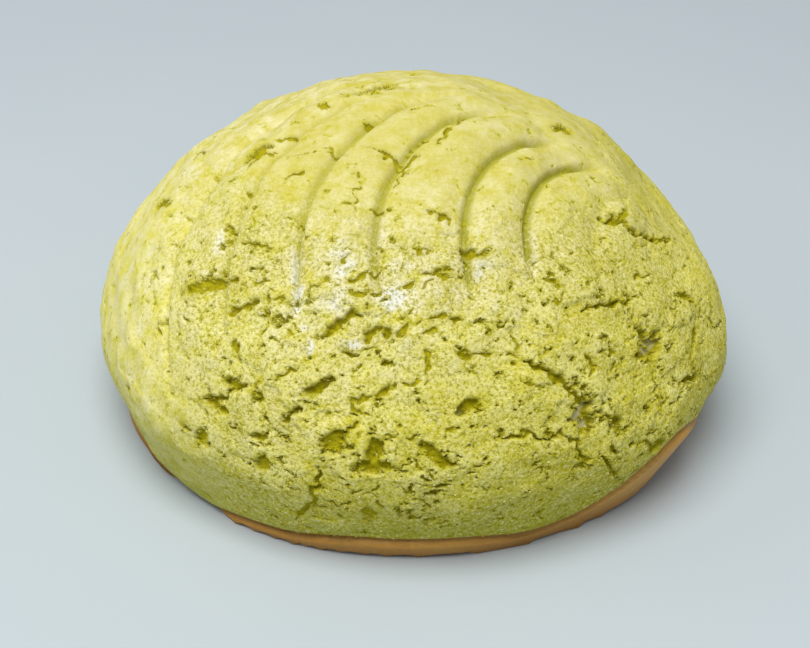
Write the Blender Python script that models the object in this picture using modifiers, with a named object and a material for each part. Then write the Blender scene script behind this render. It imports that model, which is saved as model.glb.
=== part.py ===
"""A matcha concha: a round sweet bun under a green cookie crust pressed with the ribs of a shell.

Lengths are in metres and +Z is up. The origin is the middle of the flat underside. The ribs fan
out from a hinge on the +X side and end towards -Y, which is the front of the bun.

The crust is laid out flat first, as a disc: a place on it is (u, v), where the distance from the
crown is measured down over the dome, +u heads for +X and +v heads for +Y.
"""

import math

import bmesh
import bpy
import numpy as np

# The outer form
BUN_WIDTH = 0.116
BUN_DEPTH = 0.1128
BUN_HEIGHT = 0.0603
WIDEST_AT = 0.0144
DOME_POWER = 1.81
TUCK_RATIO = 0.903
TUCK_POWER = 1.05
BASE_EDGE = 0.0013

# The crust's thickness over the crown and near its lower edge
CRUST_THICK = 0.0036
CRUST_THIN = 0.0015
THIN_FROM = 0.060
THIN_TO = 0.086
GAP = 0.0003
LEAST_WALL = 0.0007

# The crust's wavy lower edge: its height above the floor by compass angle, 0 at +X and -90 in front
RIM_ANGLES = (-139, -127, -115, -101, -92, -80, -66, -54, -47, -38, -20, 10, 45, 85, 120, 160, 190)
RIM_HEIGHTS_MM = (2.0, 2.0, 2.8, 4.3, 5.6, 3.8, 3.4, 5.5, 11.0, 14.6, 9.5, 5.0, 3.2, 4.6, 2.6, 3.6, 2.6)
LOWEST_RIM = 0.0019

# The foot of the bun is drawn in at the right and spreads at the front left, low down:
# (compass angle, reach in degrees, share of the radius)
LEANS_IN = ((-23.0, 14.0, 0.034), (-117.0, 19.0, -0.020))
LEAN_HEIGHT = 0.013

# Below the crust's edge the bread has swollen out, a little past the line of the dome
BREAD_PROUD = 0.0006
BULGE_STARTS = 0.0001
BULGE_ENDS = 0.0011
RIM_ROLL = 0.0016
RIM_DIVE = 0.0042

# The pressed shell: grooves are circles through one hinge, each larger than the last
HINGE = (0.0653, -0.0165)
FAN_HEADING = math.radians(211.5)
GROOVE_COUNT = 7
FIRST_RADIUS = 0.0178
RADIUS_STEP = 0.0067
STEP_GROWTH = 0.00012
GROOVE_DEPTH = 0.0014
GROOVE_WIDTH = 0.0012
VALLEY_DEPTH = 0.0007
VALLEY_WIDTH = 0.0030
PRESS_ENDS_AT = -0.041
PRESS_FADE = 0.010

# Broad swells and hollows of the dome: (u, v, reach, height), in millimetres
SWELLS_MM = (
    (72.0, -16.0, 13.0, 0.9),
    (40.0, -12.0, 10.0, 0.5),
    (-70.0, -22.0, 18.0, -0.9),
    (-44.0, 24.0, 16.0, -0.2),
    (8.0, -62.0, 20.0, 0.4),
    (30.0, 60.0, 22.0, -0.6),
    (-25.0, 58.0, 20.0, 0.6),
    (-10.0, 26.0, 24.0, -0.4),
    (20.0, 24.0, 16.0, -0.4),
    (4.0, 18.0, 9.0, -0.2),
)

# A plate on the right that slipped down: (u, v, reach in u, reach in v, drop), and its lower edge
SLIPPED_MM = (53.0, 3.0, 12.0, 17.0, 3.2)
SLIPPED_EDGE_MM = ((43.2, -19.8), (60.0, -6.5))

# Pits, longer than wide: (u, v, length, width, depth, turn in degrees), in millimetres
PITS_MM = (
    (46.1, -40.5, 8.5, 4.6, 2.0, 55),
    (34.6, -58.6, 5.6, 4.4, 2.2, 20),
    (42.2, -56.8, 3.6, 2.6, 1.5, 0),
    (-6.5, -71.0, 8.4, 4.0, 1.7, 5),
    (-14.7, -67.3, 5.6, 3.0, 1.5, 0),
    (4.5, -70.2, 6.5, 2.4, 1.3, -12),
    (11.0, -61.8, 4.6, 3.0, 1.6, 20),
    (-38.2, -35.2, 10.5, 2.8, 1.3, -12),
    (-7.5, 5.2, 9.0, 3.4, 1.9, 25),
    (-28.5, -9.8, 4.4, 3.4, 1.6, 35),
    (-49.5, -7.2, 9.5, 2.6, 1.4, -52),
    (-44.2, -60.6, 4.6, 2.6, 1.3, 5),
    (-31.0, -69.0, 4.6, 2.4, 1.3, -15),
    (-8.8, -82.0, 2.8, 3.0, 1.1, 0),
    (55.6, -55.0, 4.6, 2.2, 1.2, 35),
    (26.8, 0.2, 4.0, 2.4, 1.3, 30),
    (22.0, 38.0, 7.0, 3.4, 1.6, -20),
    (-34.0, 46.0, 6.0, 3.0, 1.5, 40),
    (52.0, 34.0, 6.5, 2.8, 1.4, -60),
)

# Long cracks: (half width, depth, points from end to end), in millimetres
CRACKS_MM = (
    (1.1, 1.6, ((34.2, -21.0), (37.0, -19.7), (39.7, -20.3), (44.3, -18.9), (49.8, -14.4), (55.5, -9.9))),
    (0.9, 1.3, ((30.0, -41.8), (33.8, -39.2), (36.8, -37.2), (41.2, -34.3))),
    (1.0, 1.4, ((20.3, -52.8), (24.5, -53.4), (28.8, -54.7), (32.5, -56.1), (35.0, -58.4))),
    (1.1, 1.3, ((-33.0, -84.5), (-27.0, -81.7), (-21.5, -77.6), (-19.2, -73.3))),
    (0.9, 1.2, ((-17.0, -49.6), (-13.0, -48.9), (-9.6, -47.4))),
    (0.8, 1.1, ((33.0, -62.5), (36.5, -65.0), (40.5, -66.2))),
    (0.8, 1.1, ((41.0, -63.0), (45.5, -64.6), (51.0, -65.4))),
    (0.8, 1.2, ((57.6, -26.0), (58.6, -30.5), (57.8, -34.5), (60.5, -39.0))),
    (0.8, 1.1, ((51.6, -25.8), (56.0, -23.2))),
    (0.8, 1.1, ((-8.0, -15.5), (-3.6, -18.2), (-1.4, -21.5))),
    (0.8, 1.1, ((-6.5, -45.6), (1.0, -44.8), (8.5, -45.9), (15.0, -44.2))),
    (0.8, 1.1, ((-25.0, -60.5), (-18.0, -58.2), (-13.6, -58.9))),
    (0.8, 1.1, ((-42.0, -54.5), (-36.0, -56.4), (-32.0, -54.6))),
    (0.8, 1.0, ((18.0, -66.0), (23.0, -64.2), (27.5, -65.0))),
    (0.8, 1.0, ((4.0, -53.0), (10.0, -54.6), (16.5, -53.8))),
)
CRACK_WANDER = 0.0006

# Short cracks drawn by lot
SHORT_CRACKS = 60
SHORT_HALF_WIDTH_MM = (0.8, 1.1)
SHORT_DEPTH_MM = (0.8, 1.2)
SHORT_LENGTH_MM = (4.5, 10.0)
SHORT_ARC_MM = (30.0, 80.0)

# Unevenness of baked dough: (size of the lumps, their height), in millimetres
CRUST_LUMPS_MM = ((17.0, 0.36), (6.5, 0.20), (3.2, 0.13))
BREAD_LUMPS_MM = ((30.0, 0.30),)

# Faces
ICO_LEVEL = 8
OUTER_TRIANGLES = 8200
BREAD_RINGS = 16
BREAD_SIDES = 64
EDGE_STEPS = 8
EDGE_HEIGHT = 0.0075

MM = 0.001
FULL_TURN = 2 * math.pi


def side_outline(count=600):
    """Run down one side of the bun, as arc length, radius and height from crown to floor."""
    rise = np.linspace(math.pi / 2, 0.0, count)
    radius = BUN_WIDTH / 2 * np.cos(rise) ** (2 / DOME_POWER)
    height = WIDEST_AT + (BUN_HEIGHT - WIDEST_AT) * np.sin(rise) ** (2 / DOME_POWER)
    drop = np.linspace(0.0, 1.0, count // 3)[1:]
    radius = np.append(radius, BUN_WIDTH / 2 * (1 - (1 - TUCK_RATIO) * drop**TUCK_POWER))
    height = np.append(height, WIDEST_AT * (1 - drop))
    arc = np.append(0.0, np.cumsum(np.hypot(np.diff(radius), np.diff(height))))
    return arc, radius, height


ARC, RADIUS, HEIGHT = side_outline()
LEAN_OUT = -np.gradient(HEIGHT, ARC)
LEAN_UP = np.gradient(RADIUS, ARC)
LEAN_OUT[0], LEAN_UP[0] = 0.0, 1.0


def dome_points(arc, angle, lift):
    """Places on the dome at an arc length and compass angle, lifted off it along its normal."""
    radius = np.interp(arc, ARC, RADIUS) + lift * np.interp(arc, ARC, LEAN_OUT)
    height = np.interp(arc, ARC, HEIGHT) + lift * np.interp(arc, ARC, LEAN_UP)
    squeeze = BUN_DEPTH / BUN_WIDTH
    return np.column_stack([radius * np.cos(angle), radius * np.sin(angle) * squeeze, height])


def smooth_step(low, high, value):
    x = np.clip((value - low) / (high - low), 0.0, 1.0)
    return x * x * (3 - 2 * x)


def lean_in(points):
    """Draw the foot of the bun in at the front right and let it spread at the front left."""
    angle = np.degrees(np.arctan2(points[:, 1], points[:, 0]))
    low = 1 - smooth_step(0.0, LEAN_HEIGHT, points[:, 2])
    for heading, reach, share in LEANS_IN:
        points[:, :2] *= (1 - share * low * np.exp(-(((angle - heading) / reach) ** 2)))[:, None]


def lumps(points, size, seed, waves=22):
    """Soft lumps of about one size: plane waves in random directions, added up."""
    lot = np.random.default_rng(seed)
    heading = lot.normal(size=(waves, 3))
    heading /= np.linalg.norm(heading, axis=1)[:, None]
    turns = FULL_TURN / (size * lot.uniform(0.75, 1.5, waves))
    phase = lot.uniform(0, FULL_TURN, waves)
    return np.sin(points @ (heading * turns[:, None]).T + phase).sum(axis=1) / math.sqrt(waves)


def crust_thickness(arc):
    return CRUST_THICK + (CRUST_THIN - CRUST_THICK) * smooth_step(THIN_FROM, THIN_TO, arc)


def rim_arc(angle):
    """How far down the side the crust reaches at a compass angle."""
    keys = np.radians(RIM_ANGLES)
    height = np.interp(angle, keys, np.array(RIM_HEIGHTS_MM) * MM, period=FULL_TURN)
    height = height + 0.4 * MM * np.sin(9 * angle + 1.0) + 0.3 * MM * np.sin(17 * angle)
    height = np.maximum(height, LOWEST_RIM)
    below = ARC > np.interp(BUN_WIDTH / 2, RADIUS[: len(RADIUS) // 2], ARC[: len(RADIUS) // 2])
    return np.interp(-height, -HEIGHT[below], ARC[below])


def shell_grooves(u, v):
    """Depth pressed by the shell stamp: a narrow groove in a wide shallow valley on each circle."""
    heading = np.array([math.cos(FAN_HEADING), math.sin(FAN_HEADING)])
    qu, qv = u - HINGE[0], v - HINGE[1]
    along = heading[0] * qu + heading[1] * qv
    across = heading[0] * qv - heading[1] * qu
    reach = np.hypot(qu, qv)
    nearest = np.full(len(u), 1.0)
    for k in range(GROOVE_COUNT):
        radius = FIRST_RADIUS + RADIUS_STEP * k + STEP_GROWTH * k * k
        away = np.abs(np.hypot(qu - radius * heading[0], qv - radius * heading[1]) - radius)
        faint = 0.0015 if k == 0 else 0.0
        nearest = np.minimum(nearest, away + faint)
    depth = GROOVE_DEPTH * np.exp(-((nearest / GROOVE_WIDTH) ** 2))
    depth = depth + VALLEY_DEPTH * np.exp(-((nearest / VALLEY_WIDTH) ** 2))
    pressed = smooth_step(PRESS_ENDS_AT - PRESS_FADE, PRESS_ENDS_AT, v)
    pressed = pressed * smooth_step(0.0, 0.009, -across) * smooth_step(0.61, 0.76, along / reach)
    return depth * pressed


def pit_depth(u, v, wobble, pit):
    """A rounded hollow with a ragged outline."""
    pu, pv, length, width, depth, turn = np.array(pit) * MM
    turn = math.radians(turn / MM)
    du, dv = u - pu, v - pv
    along = (du * math.cos(turn) + dv * math.sin(turn)) / (length / 2)
    aside = (dv * math.cos(turn) - du * math.sin(turn)) / (width / 2)
    away = np.hypot(along, aside) * (1 + 0.22 * wobble)
    return depth * (1 - smooth_step(0.45, 1.15, away))


def crack_depth(u, v, half_width, depth, points):
    """A split along a bent line, tapering to both ends."""
    points = np.array(points) * MM
    steps = np.diff(points, axis=0)
    lengths = np.hypot(steps[:, 0], steps[:, 1])
    starts = np.append(0.0, np.cumsum(lengths))
    found = np.zeros(len(u))
    for (pu, pv), (su, sv), length, start in zip(points[:-1], steps, lengths, starts[:-1]):
        t = np.clip(((u - pu) * su + (v - pv) * sv) / length**2, 0.0, 1.0)
        away = np.hypot(u - pu - t * su, v - pv - t * sv)
        whole = (start + t * length) / starts[-1]
        taper = np.sqrt(np.clip(1 - np.abs(2 * whole - 1) ** 3, 0.05, 1.0))
        found = np.maximum(found, taper * np.clip(1.25 - away / (half_width * MM * taper), 0.0, 1.0))
    return depth * MM * found


def short_cracks():
    """Cracks drawn by lot, most of them lying round the bun and most of them in front."""
    lot = np.random.default_rng(11)
    cracks = []
    for _ in range(SHORT_CRACKS):
        angle = math.radians(-90 + lot.normal(0, 75))
        arc = lot.uniform(*SHORT_ARC_MM)
        length = lot.uniform(*SHORT_LENGTH_MM)
        lie = angle + math.pi / 2 + math.radians(lot.normal(0, 24))
        middle = np.array([arc * math.cos(angle), arc * math.sin(angle)])
        half = np.array([math.cos(lie), math.sin(lie)]) * length / 2
        bend = np.array([-half[1], half[0]]) * lot.uniform(-0.35, 0.35)
        points = (middle - half, middle + bend, middle + half)
        cracks.append((lot.uniform(*SHORT_HALF_WIDTH_MM), lot.uniform(*SHORT_DEPTH_MM), points))
    return cracks


def swells(u, v):
    """Swells and hollows of the dome, and the plate that slipped down behind a straight edge."""
    lift = np.zeros(len(u))
    for su, sv, reach, height in np.array(SWELLS_MM) * MM:
        lift += height * np.exp(-(((u - su) ** 2 + (v - sv) ** 2) / reach**2))
    pu, pv, reach_u, reach_v, drop = np.array(SLIPPED_MM) * MM
    (au, av), (bu, bv) = np.array(SLIPPED_EDGE_MM) * MM
    above = ((v - av) * (bu - au) - (u - au) * (bv - av)) / math.hypot(bu - au, bv - av)
    plate = smooth_step(-0.4 * MM, 0.8 * MM, above)
    return lift - drop * plate * np.exp(-(((u - pu) / reach_u) ** 2 + ((v - pv) / reach_v) ** 2))


def crust_relief(arc, angle):
    """How far the crust's face stands proud of the plain dome, or is sunk below it."""
    u, v = arc * np.cos(angle), arc * np.sin(angle)
    plain = dome_points(arc, angle, np.zeros(len(arc)))
    lift = swells(u, v)
    for seed, (size, height) in enumerate(CRUST_LUMPS_MM):
        lift += height * MM * lumps(plain, size * MM, seed)
    wobble = lumps(plain, 2.6 * MM, 21)
    wander_u = u + CRACK_WANDER * lumps(plain, 3.0 * MM, 22)
    wander_v = v + CRACK_WANDER * lumps(plain, 3.0 * MM, 23)
    sunk = np.zeros(len(arc))
    for pit in PITS_MM:
        sunk = np.maximum(sunk, pit_depth(u, v, wobble, pit))
    for half_width, depth, points in list(CRACKS_MM) + short_cracks():
        sunk = np.maximum(sunk, crack_depth(wander_u, wander_v, half_width, depth, points))
    lift -= np.hypot(sunk, shell_grooves(u, v))
    return np.maximum(lift, LEAST_WALL + GAP - crust_thickness(arc))


def new_object(name, mesh, collection, material=None):
    obj = bpy.data.objects.new(name, mesh)
    collection.objects.link(obj)
    if material:
        mesh.materials.append(material)
    return obj


def move_points(mesh, points):
    mesh.vertices.foreach_set("co", np.asarray(points, np.float32).ravel())
    mesh.update()


def read_points(mesh):
    points = np.empty(len(mesh.vertices) * 3, np.float32)
    mesh.vertices.foreach_get("co", points)
    return points.reshape(-1, 3).astype(np.float64)


def food_material(name, color, roughness):
    material = bpy.data.materials.new(name)
    material.use_nodes = True
    shader = material.node_tree.nodes["Principled BSDF"]
    shader.inputs["Base Color"].default_value = (*color, 1.0)
    shader.inputs["Roughness"].default_value = roughness
    shader.inputs["Metallic"].default_value = 0.0
    return material


def bread_outline(grow):
    """The bread's half section: the dome less the crust, with a rounded edge at the floor."""
    reach = np.interp(EDGE_HEIGHT, HEIGHT[::-1], ARC[::-1])
    arc = np.append(np.linspace(0, reach, BREAD_RINGS), np.linspace(reach, ARC[-1], EDGE_STEPS + 1)[1:])
    points = dome_points(arc, np.zeros(len(arc)), -crust_thickness(arc))
    radius, height = points[:, 0], np.maximum(points[:, 2], 0.0)
    under = np.clip(1 - height / BASE_EDGE, 0.0, 1.0)
    radius = radius - BASE_EDGE * (1 - np.sqrt(1 - under**2))
    height[-1] = 0.0
    slope = np.column_stack([np.gradient(radius), np.gradient(height)])
    slope /= np.linalg.norm(slope, axis=1)[:, None]
    radius = radius - grow * slope[:, 1]
    height = height + grow * slope[:, 0]
    radius[0] = 0.0
    height[-1] = -grow
    return [*zip(radius, height), (0.0, -grow)]


def bulge_below_crust(points, grow):
    """How much wider the turned bread gets where the crust has ended."""
    radius = np.hypot(points[:, 0], points[:, 1])
    side = radius > BUN_WIDTH / 4
    angle = np.arctan2(points[:, 1], points[:, 0])
    rim = np.interp(rim_arc(angle), ARC, HEIGHT) + 2 * grow
    bare = 1 - smooth_step(rim - BULGE_ENDS, rim - BULGE_STARTS, points[:, 2])
    return 1 + np.where(side, bare * (CRUST_THIN + BREAD_PROUD) / np.maximum(radius, MM), 0.0)


def split_squares(mesh):
    """Split every four-sided face along the same diagonal, so that bread and clearance agree."""
    maker = bmesh.new()
    maker.from_mesh(mesh)
    bmesh.ops.triangulate(maker, faces=maker.faces[:], quad_method="FIXED")
    maker.to_mesh(mesh)
    maker.free()


def bread_mesh(name, grow):
    """Turn the half section into a closed solid, then press and swell it a little by hand."""
    outline = bread_outline(grow)
    profile = bpy.data.meshes.new(name + "_profile")
    edges = [(i, i + 1) for i in range(len(outline) - 1)]
    profile.from_pydata([(radius, 0.0, height) for radius, height in outline], edges, [])
    turned = bpy.data.objects.new(name + "_turned", profile)
    bpy.context.scene.collection.objects.link(turned)
    screw = turned.modifiers.new("Turn", "SCREW")
    screw.steps = screw.render_steps = BREAD_SIDES
    screw.use_merge_vertices = True
    screw.merge_threshold = 0.00001
    graph = bpy.context.evaluated_depsgraph_get()
    mesh = bpy.data.meshes.new_from_object(turned.evaluated_get(graph))
    mesh.name = name
    bpy.data.objects.remove(turned)
    points = read_points(mesh)
    points[:, :2] *= bulge_below_crust(points, grow)[:, None]
    points[:, 1] *= BUN_DEPTH / BUN_WIDTH
    outwards = points * (1, 1, 0) / (BUN_WIDTH / 2)
    clear_of_floor = smooth_step(0.0, BASE_EDGE, points[:, 2])
    for seed, (size, height) in enumerate(BREAD_LUMPS_MM):
        swell = height * MM * lumps(points, size * MM, 40 + seed) * clear_of_floor
        points += outwards * swell[:, None]
    lean_in(points)
    move_points(mesh, points)
    split_squares(mesh)
    mesh.shade_smooth()
    mesh.set_sharp_from_angle(angle=math.radians(40))
    return mesh


def crust_blank_mesh():
    """The crust's outer face on a closed solid, whose lower part turns in under the bread."""
    mesh = bpy.data.meshes.new("crust")
    maker = bmesh.new()
    bmesh.ops.create_icosphere(maker, subdivisions=ICO_LEVEL, radius=1.0)
    maker.to_mesh(mesh)
    maker.free()
    ball = read_points(mesh)
    angle = np.arctan2(ball[:, 1], ball[:, 0])
    fall = np.arccos(np.clip(ball[:, 2], -1.0, 1.0))
    side_ends = math.radians(125)
    low = LOWEST_RIM - 0.0011
    last_arc = np.interp(-low, -HEIGHT, ARC)
    arc = np.minimum(fall / side_ends, 1.0) * last_arc
    lift = crust_relief(arc, angle)
    edge = rim_arc(angle)
    turned = np.clip((arc - edge + RIM_ROLL) / RIM_ROLL, 0.0, None)
    roll = crust_thickness(arc) * (1 - np.sqrt(np.clip(1 - turned**2, 0.0, 1.0)))
    dive = smooth_step(1.0, 1.45, turned) * (RIM_DIVE - CRUST_THIN)
    points = dome_points(arc, angle, lift * (1 - smooth_step(0.5, 1.6, turned)) - roll - dive)
    under = fall > side_ends
    shrink = (math.pi - fall[under]) / (math.pi - side_ends)
    points[under, :2] *= shrink[:, None]
    points[under, 2] = low
    lean_in(points)
    move_points(mesh, points)
    mesh.shade_smooth()
    return mesh


def main():
    for obj in list(bpy.data.objects):
        bpy.data.objects.remove(obj)
    bun = bpy.data.collections.new("matcha_concha")
    cutters = bpy.data.collections.new("cutters")
    for collection in (bun, cutters):
        bpy.context.scene.collection.children.link(collection)
    cutters.hide_render = True

    cookie = food_material("baked_matcha_cookie_crust", (0.55, 0.51, 0.10), 0.85)
    brown = food_material("baked_bread_skin", (0.55, 0.29, 0.09), 0.60)
    new_object("bread", bread_mesh("bread", 0.0), bun, brown)

    clearance = new_object("bread_clearance", bread_mesh("bread_clearance", GAP), cutters)
    clearance.hide_render = True
    clearance.display_type = "WIRE"

    crust = new_object("crust", crust_blank_mesh(), bun, cookie)
    thin_out = crust.modifiers.new("Fewer faces", "DECIMATE")
    thin_out.ratio = OUTER_TRIANGLES / len(crust.data.polygons)
    hollow = crust.modifiers.new("Room for the bread", "BOOLEAN")
    hollow.operation = "DIFFERENCE"
    hollow.object = clearance


main()
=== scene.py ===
# %% [markdown]
# # A matcha concha, finished for its portrait
# A concha is a round sweet bun. Before baking, a disc of cookie dough, here coloured with matcha, is
# laid over the risen bread and pressed with a stamp of shell ribs. In the oven the bread swells, and
# the cookie dough, which cannot stretch, cracks and crumbles. This lesson loads the solid model of
# the bun and builds the fine surface over it: the ribs, the cracks, the sandy grain, the browned
# bread that peeps out below, and the crumbs that cling to the crust.

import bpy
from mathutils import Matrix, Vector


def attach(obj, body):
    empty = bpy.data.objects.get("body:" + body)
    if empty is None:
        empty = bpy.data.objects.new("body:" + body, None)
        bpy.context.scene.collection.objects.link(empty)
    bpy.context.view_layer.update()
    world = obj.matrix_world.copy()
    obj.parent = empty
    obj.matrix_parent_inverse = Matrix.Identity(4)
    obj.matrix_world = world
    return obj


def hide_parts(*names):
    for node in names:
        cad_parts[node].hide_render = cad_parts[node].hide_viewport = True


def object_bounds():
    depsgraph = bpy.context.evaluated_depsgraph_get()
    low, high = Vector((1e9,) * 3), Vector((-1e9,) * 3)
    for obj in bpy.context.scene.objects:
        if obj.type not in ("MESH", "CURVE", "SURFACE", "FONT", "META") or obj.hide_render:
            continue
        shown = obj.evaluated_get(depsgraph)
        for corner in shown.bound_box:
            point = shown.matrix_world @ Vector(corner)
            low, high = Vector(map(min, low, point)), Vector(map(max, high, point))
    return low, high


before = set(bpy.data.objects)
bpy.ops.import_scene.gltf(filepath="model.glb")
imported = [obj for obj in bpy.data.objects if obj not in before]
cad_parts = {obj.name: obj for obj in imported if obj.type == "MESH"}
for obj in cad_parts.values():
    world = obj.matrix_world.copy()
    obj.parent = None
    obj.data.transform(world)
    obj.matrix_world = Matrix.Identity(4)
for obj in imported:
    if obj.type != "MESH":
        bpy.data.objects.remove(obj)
solid_low, solid_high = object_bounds()

# %% Tools for the whole lesson
import math

import bmesh
import bpy
import numpy as np
from mathutils import Matrix, Vector

MM = 0.001
FULL_TURN = 2 * math.pi
bun_width = solid_high[0] - solid_low[0]
bun_height = solid_high[2] - solid_low[2]
print(f"the bun is {bun_width / MM:.1f} mm wide and {bun_height / MM:.1f} mm high")


# %% [markdown]
# ## Three small helpers
# Node trees are built in code here. One function adds any node: its options are keywords, and each
# input is either a value or another node's output. A second one is short for the node used most,
# which does one sum. A third turns a colour that was picked on screen, written as hex, into the
# linear light values that Blender's shaders calculate with.

# %% Add a node, read a colour
def add(tree, kind, inputs=None, out=0, **options):
    """Add one node to a tree and return one of its outputs, ready to feed into the next node."""
    node = tree.nodes.new(kind)
    for option, value in options.items():
        setattr(node, option, value)
    for socket, value in (inputs or {}).items():
        if isinstance(value, bpy.types.NodeSocket):
            tree.links.new(value, node.inputs[socket])
        else:
            node.inputs[socket].default_value = value
    return node.outputs[out] if node.outputs else node


def calc(tree, operation, *values):
    """Add a node that does one sum with numbers."""
    return add(tree, "ShaderNodeMath", dict(enumerate(values)), operation=operation)


def colour(hex_code):
    """Linear RGBA from a screen colour such as #D6CC6B."""
    levels = [int(hex_code[i : i + 2], 16) / 255 for i in (1, 3, 5)]
    linear = [c / 12.92 if c <= 0.04045 else ((c + 0.055) / 1.055) ** 2.4 for c in levels]
    return (*linear, 1.0)


print("a leaf green, in linear light:", [round(c, 3) for c in colour("#8F9A4C")])

# %% [markdown]
# ## Camera
# The picture was taken from a chair's height across a table: about 31 cm from the bun, looking down
# by 32 degrees, with a long lens and the camera tipped a little clockwise. The matrix is built from
# three directions, right, up and back, which is what a camera's matrix is.

# %% Place the camera
CAMERA_PLACE = Vector((-1.1, -255.0, 174.1)) * MM
LOOK_DOWN = math.radians(32.26)
CAMERA_ROLL = math.radians(1.476)
FOCAL_LENGTH = 71.1
SENSOR_WIDTH = 36.0

ahead = Vector((0.0, math.cos(LOOK_DOWN), -math.sin(LOOK_DOWN)))
level_up = Vector((0.0, math.sin(LOOK_DOWN), math.cos(LOOK_DOWN)))
level_right = Vector((1.0, 0.0, 0.0))
right = level_right * math.cos(CAMERA_ROLL) + level_up * math.sin(CAMERA_ROLL)
up = level_up * math.cos(CAMERA_ROLL) - level_right * math.sin(CAMERA_ROLL)

camera_data = bpy.data.cameras.new("portrait_camera")
camera_data.lens = FOCAL_LENGTH
camera_data.sensor_width = SENSOR_WIDTH
camera = bpy.data.objects.new("portrait_camera", camera_data)
camera.matrix_world = Matrix.Translation(CAMERA_PLACE) @ Matrix((right, up, -ahead)).transposed().to_4x4()
bpy.context.scene.collection.objects.link(camera)
bpy.context.scene.camera = camera
print(f"camera {CAMERA_PLACE.length / MM:.0f} mm from the middle of the underside")

# %% [markdown]
# ## Light
# The light is soft: a pale room all round, a wide lamp overhead, a little to the front and the
# left, and a weak window on the left, which only brightens the left flank of every rib. A place on
# the bun is bright because it faces up, much more than because it faces left. The view transform
# is Standard, so colours come out as they are set.

# %% Pale room, ceiling light and window
ROOM_STRENGTH = 0.44
LIGHTS = (
    ("ceiling", (-120.0, -260.0, 850.0), 0.70, 8.3, "#FCFCFC"),
    ("window", (-640.0, 0.0, 400.0), 0.50, 0.4, "#FAFCFF"),
)


def soft_light(name, place_mm, size, power, tint):
    """A round lamp of that size in metres and power in watts, turned to face the bun."""
    light = bpy.data.lights.new(name, "AREA")
    light.shape = "DISK"
    light.size = size
    light.energy = power
    light.color = colour(tint)[:3]
    lamp = bpy.data.objects.new(name, light)
    place = Vector(place_mm) * MM
    aim = Vector((0.0, 0.0, bun_height / 2)) - place
    lamp.matrix_world = Matrix.Translation(place) @ aim.to_track_quat("-Z", "Y").to_matrix().to_4x4()
    bpy.context.scene.collection.objects.link(lamp)


for light_settings in LIGHTS:
    soft_light(*light_settings)

world = bpy.data.worlds.new("pale_room")
bpy.context.scene.world = world
world.use_nodes = True
room = world.node_tree.nodes["Background"]
room.inputs["Color"].default_value = colour("#F2F4FA")
room.inputs["Strength"].default_value = ROOM_STRENGTH
bpy.context.scene.view_settings.view_transform = "Standard"
print("lights:", [settings[0] for settings in LIGHTS], "in a room of strength", ROOM_STRENGTH)


# %% Plain pale floor
FLOOR_REACH = 3.0
FLOOR_DROP = 0.05 * MM

maker = bmesh.new()
bmesh.ops.create_grid(maker, x_segments=1, y_segments=1, size=FLOOR_REACH)
floor_mesh = bpy.data.meshes.new("floor")
maker.to_mesh(floor_mesh)
maker.free()
floor_mesh.transform(Matrix.Translation((0, 0, -FLOOR_DROP)))
floor = bpy.data.objects.new("floor", floor_mesh)
bpy.context.scene.collection.objects.link(floor)

card = bpy.data.materials.new("matt_painted_card")
card.use_nodes = True
card_shader = card.node_tree.nodes["Principled BSDF"]
card_place = add(card.node_tree, "ShaderNodeTexCoord", out="Object")
card_cloud = add(card.node_tree, "ShaderNodeTexNoise", {"Vector": card_place, "Scale": 9.0})
card_tone = add(
    card.node_tree,
    "ShaderNodeMix",
    {0: card_cloud, 6: colour("#B2BCC0"), 7: colour("#B8C1C4")},
    out=2,
    data_type="RGBA",
)
card.node_tree.links.new(card_tone, card_shader.inputs["Base Color"])
card_shader.inputs["Roughness"].default_value = 0.8
floor_mesh.materials.append(card)


# %% [markdown]
# ## The dome
# The bun's side is one curve, turned round: a super-ellipse from the crown to the widest line, and a
# slight tuck below it. Places on the crust are easier to name on a flat disc, as on an unrolled
# orange peel, so the crust is laid out flat first: u runs to the right and v away from the viewer,
# and the distance from the crown is measured over the dome.

# %% The side curve
BUN_WIDTH = 116.0 * MM
BUN_DEPTH = 112.8 * MM
BUN_HEIGHT = 60.3 * MM
WIDEST_AT = 14.4 * MM
DOME_POWER = 1.81
TUCK_RATIO = 0.903
TUCK_POWER = 1.05
BASE_EDGE = 1.3 * MM
ROUNDING = 8.0 * MM


def side_outline(count=600):
    """Run down one side of the bun, as arc length, radius and height from crown to floor."""
    rise = np.linspace(math.pi / 2, 0.0, count)
    radius = BUN_WIDTH / 2 * np.cos(rise) ** (2 / DOME_POWER)
    height = WIDEST_AT + (BUN_HEIGHT - WIDEST_AT) * np.sin(rise) ** (2 / DOME_POWER)
    drop = np.linspace(0.0, 1.0, count // 3)[1:]
    radius = np.append(radius, BUN_WIDTH / 2 * (1 - (1 - TUCK_RATIO) * drop**TUCK_POWER))
    height = np.append(height, WIDEST_AT * (1 - drop))
    arc = np.append(0.0, np.cumsum(np.hypot(np.diff(radius), np.diff(height))))
    even = np.linspace(0.0, arc[-1], 8 * count)
    soft = np.hanning(int(ROUNDING / even[1]))
    soft /= soft.sum()
    rounded = []
    for values in (radius, height):
        padded = np.pad(np.interp(even, arc, values), len(soft) // 2, "reflect", reflect_type="odd")
        rounded.append(np.convolve(padded, soft, "same")[len(soft) // 2 :][: len(even)])
    return even, *rounded


ARC, RADIUS, HEIGHT = side_outline()
LEAN_OUT = -np.gradient(HEIGHT, ARC)
LEAN_UP = np.gradient(RADIUS, ARC)
LEAN_OUT[0], LEAN_UP[0] = 0.0, 1.0
print(f"from crown to floor it is {ARC[-1] / MM:.1f} mm over the crust")


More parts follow.
